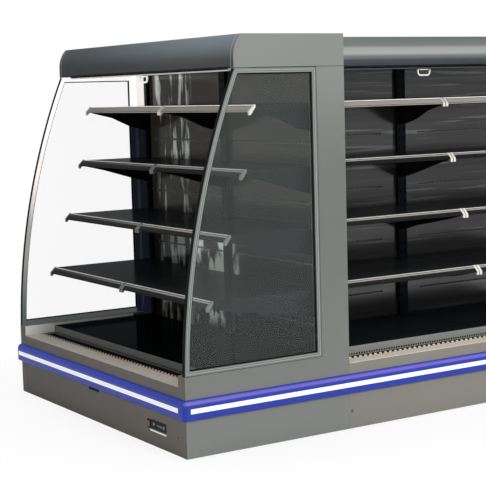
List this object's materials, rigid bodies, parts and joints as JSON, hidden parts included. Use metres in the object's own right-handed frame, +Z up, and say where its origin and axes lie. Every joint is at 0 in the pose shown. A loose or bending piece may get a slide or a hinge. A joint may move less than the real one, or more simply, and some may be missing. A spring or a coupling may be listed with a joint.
{
  "type": "open multideck display fridge",
  "caption": "Open multideck display fridge: head case with bowed glass sides and a joined run, with shelves, canopies, night blinds, bumper and fans.",
  "frame": {"origin": "on the floor under the middle of the bounding box", "axes": "+Z up; -Y is the way the head's open front faces; +X is the way the run's open front faces; the run leads away from the head along +Y"},
  "size_m": [1.984, 3.0646, 2],
  "materials": {
    "panel_grey": "satin",
    "base_brown": "satin",
    "fascia_slate": "satin",
    "lip_beige": "satin",
    "duct_steel": "gloss",
    "shelf_black": "satin",
    "tray_dark": "gloss",
    "deck_black": "gloss",
    "grille_grey": "satin",
    "frame_aluminium": "satin",
    "clear_glass": "polished",
    "bumper_blue": "satin",
    "strip_white": "gloss",
    "blind_white": "satin",
    "roller_grey": "matte",
    "lamp_white": "gloss",
    "honeycomb_grey": "matte",
    "insulation_grey": "satin",
    "galvanised": "satin",
    "coil_aluminium": "satin",
    "pipe_copper": "satin",
    "fan_black": "matte",
    "control_black": "gloss",
    "key_grey": "matte",
    "rocker_red": "gloss"
  },
  "bodies": {
    "case": {"air_honeycombs": "honeycomb_grey", "base_frames": "galvanised", "blind_brackets": "galvanised", "bumper_corners": "bumper_blue", "bumper_rails": "bumper_blue", "bumper_strips": "strip_white", "canopy_end_panels": "panel_grey", "canopy_lamps": "lamp_white", "ceiling_panels": "duct_steel", "controller_case": "control_black", "cooling_pipes": "pipe_copper", "evaporators": "coil_aluminium", "fan_motors": "fan_black", "fan_plates": "galvanised", "front_lips": "lip_beige", "head_brackets": "shelf_black", "head_canopy": "fascia_slate", "head_duct_panel": "duct_steel", "head_front_panel": "base_brown", "head_tub": "insulation_grey", "insulated_roofs": "insulation_grey", "left_end_panel": "panel_grey", "left_glass_frame": "frame_aluminium", "levelling_feet": "galvanised", "rear_walls": "insulation_grey", "right_end_panel": "panel_grey", "right_glass_frame": "frame_aluminium", "run_brackets": "shelf_black", "run_canopy": "fascia_slate", "run_duct_panel": "duct_steel", "run_front_panel": "base_brown", "run_tub": "insulation_grey", "shelf_uprights": "shelf_black", "side_glasses": "clear_glass"},
    "controller_set_key": {"controller_set_key": "key_grey"},
    "head_blind_bail": {"head_blind_bail": "blind_white"},
    "head_blind_bar": {"head_blind_bar": "blind_white"},
    "head_blind_roller": {"head_blind_roller": "roller_grey"},
    "head_deck_left": {"head_deck_left": "deck_black"},
    "head_deck_right": {"head_deck_right": "deck_black"},
    "head_fan_left": {"head_fan_left": "fan_black"},
    "head_fan_right": {"head_fan_right": "fan_black"},
    "head_return_grille": {"head_return_grille": "grille_grey"},
    "head_shelf_1": {"head_shelf_1": "tray_dark"},
    "head_shelf_2": {"head_shelf_2": "tray_dark"},
    "head_shelf_3": {"head_shelf_3": "tray_dark"},
    "head_shelf_4": {"head_shelf_4": "tray_dark"},
    "power_rocker": {"power_rocker": "rocker_red"},
    "run_blind_bail": {"run_blind_bail": "blind_white"},
    "run_blind_bar": {"run_blind_bar": "blind_white"},
    "run_blind_roller": {"run_blind_roller": "roller_grey"},
    "run_deck_far": {"run_deck_far": "deck_black"},
    "run_deck_near": {"run_deck_near": "deck_black"},
    "run_fan_far": {"run_fan_far": "fan_black"},
    "run_fan_near": {"run_fan_near": "fan_black"},
    "run_return_grille": {"run_return_grille": "grille_grey"},
    "run_shelf_1": {"run_shelf_1": "tray_dark"},
    "run_shelf_2": {"run_shelf_2": "tray_dark"},
    "run_shelf_3": {"run_shelf_3": "tray_dark"},
    "run_shelf_4": {"run_shelf_4": "tray_dark"}
  },
  "joints": [
    {"name": "head_deck_left_lift", "type": "slide", "parent": "case", "child": "head_deck_left", "axis": [0, 0, 1], "range_m": [0, 0.15]},
    {"name": "head_deck_right_lift", "type": "slide", "parent": "case", "child": "head_deck_right", "axis": [0, 0, 1], "range_m": [0, 0.15]},
    {"name": "head_return_grille_lift", "type": "slide", "parent": "case", "child": "head_return_grille", "axis": [0, 0, 1], "range_m": [0, 0.15]},
    {"name": "head_shelf_1_lift", "type": "slide", "parent": "case", "child": "head_shelf_1", "axis": [0, 0, 1], "range_m": [0, 0.12]},
    {"name": "head_shelf_2_lift", "type": "slide", "parent": "case", "child": "head_shelf_2", "axis": [0, 0, 1], "range_m": [0, 0.12]},
    {"name": "head_shelf_3_lift", "type": "slide", "parent": "case", "child": "head_shelf_3", "axis": [0, 0, 1], "range_m": [0, 0.12]},
    {"name": "head_shelf_4_lift", "type": "slide", "parent": "case", "child": "head_shelf_4", "axis": [0, 0, 1], "range_m": [0, 0.12]},
    {"name": "run_deck_far_lift", "type": "slide", "parent": "case", "child": "run_deck_far", "axis": [0, 0, 1], "range_m": [0, 0.15]},
    {"name": "run_deck_near_lift", "type": "slide", "parent": "case", "child": "run_deck_near", "axis": [0, 0, 1], "range_m": [0, 0.15]},
    {"name": "run_return_grille_lift", "type": "slide", "parent": "case", "child": "run_return_grille", "axis": [0, 0, 1], "range_m": [0, 0.15]},
    {"name": "run_shelf_1_lift", "type": "slide", "parent": "case", "child": "run_shelf_1", "axis": [0, 0, 1], "range_m": [0, 0.12]},
    {"name": "run_shelf_2_lift", "type": "slide", "parent": "case", "child": "run_shelf_2", "axis": [0, 0, 1], "range_m": [0, 0.12]},
    {"name": "run_shelf_3_lift", "type": "slide", "parent": "case", "child": "run_shelf_3", "axis": [0, 0, 1], "range_m": [0, 0.12]},
    {"name": "run_shelf_4_lift", "type": "slide", "parent": "case", "child": "run_shelf_4", "axis": [0, 0, 1], "range_m": [0, 0.12]},
    {"name": "head_fan_left_spin", "type": "hinge", "parent": "case", "child": "head_fan_left", "pos_m": [-0.4525, -1.22725, 0.26035], "axis": [0, 1, 0], "continuous": true},
    {"name": "head_fan_right_spin", "type": "hinge", "parent": "case", "child": "head_fan_right", "pos_m": [0.4525, -1.22725, 0.26035], "axis": [0, 1, 0], "continuous": true},
    {"name": "run_fan_near_spin", "type": "hinge", "parent": "case", "child": "run_fan_near", "pos_m": [0.687, -0.02775, 0.26035], "axis": [1, 0, 0], "continuous": true},
    {"name": "run_fan_far_spin", "type": "hinge", "parent": "case", "child": "run_fan_far", "pos_m": [0.687, 1.01225, 0.26035], "axis": [1, 0, 0], "continuous": true},
    {"name": "head_blind_pull", "type": "slide", "parent": "case", "child": "head_blind_bar", "axis": [0, -0.2075, -0.9782], "range_m": [0, 1.45], "stiffness_N_per_m": 20, "springref_m": -1.5},
    {"name": "head_roller_turn", "type": "hinge", "parent": "case", "child": "head_blind_roller", "pos_m": [0, -1.12025, 1.905], "axis": [1, 0, 0], "range_deg": [0, 3777.3]},
    {"name": "head_bail_swing", "type": "hinge", "parent": "head_blind_bar", "child": "head_blind_bail", "pos_m": [0, -1.15225, 1.8212], "axis": [1, 0, 0], "range_deg": [-80, 80]},
    {"name": "run_blind_pull", "type": "slide", "parent": "case", "child": "run_blind_bar", "axis": [0.2075, 0, -0.9782], "range_m": [0, 1.45], "stiffness_N_per_m": 20, "springref_m": -1.5},
    {"name": "run_roller_turn", "type": "hinge", "parent": "case", "child": "run_blind_roller", "pos_m": [0.58, 0.4923, 1.905], "axis": [0, 1, 0], "range_deg": [0, 3777.3]},
    {"name": "run_bail_swing", "type": "hinge", "parent": "run_blind_bar", "child": "run_blind_bail", "pos_m": [0.612, 0.26225, 1.8212], "axis": [0, 1, 0], "range_deg": [-80, 80]},
    {"name": "power_rocker_tilt", "type": "hinge", "parent": "case", "child": "power_rocker", "pos_m": [0.5985, -1.50625, 0.109], "axis": [1, 0, 0], "range_deg": [-8, 8]},
    {"name": "set_key_press", "type": "slide", "parent": "case", "child": "controller_set_key", "axis": [0, 1, 0], "range_m": [0, 0.0008], "stiffness_N_per_m": 500}
  ],
  "couplings": [
    {"joint": "head_roller_turn", "follows": "head_blind_pull", "rad_per_m": 45.455},
    {"joint": "run_roller_turn", "follows": "run_blind_pull", "rad_per_m": 45.455}
  ]
}
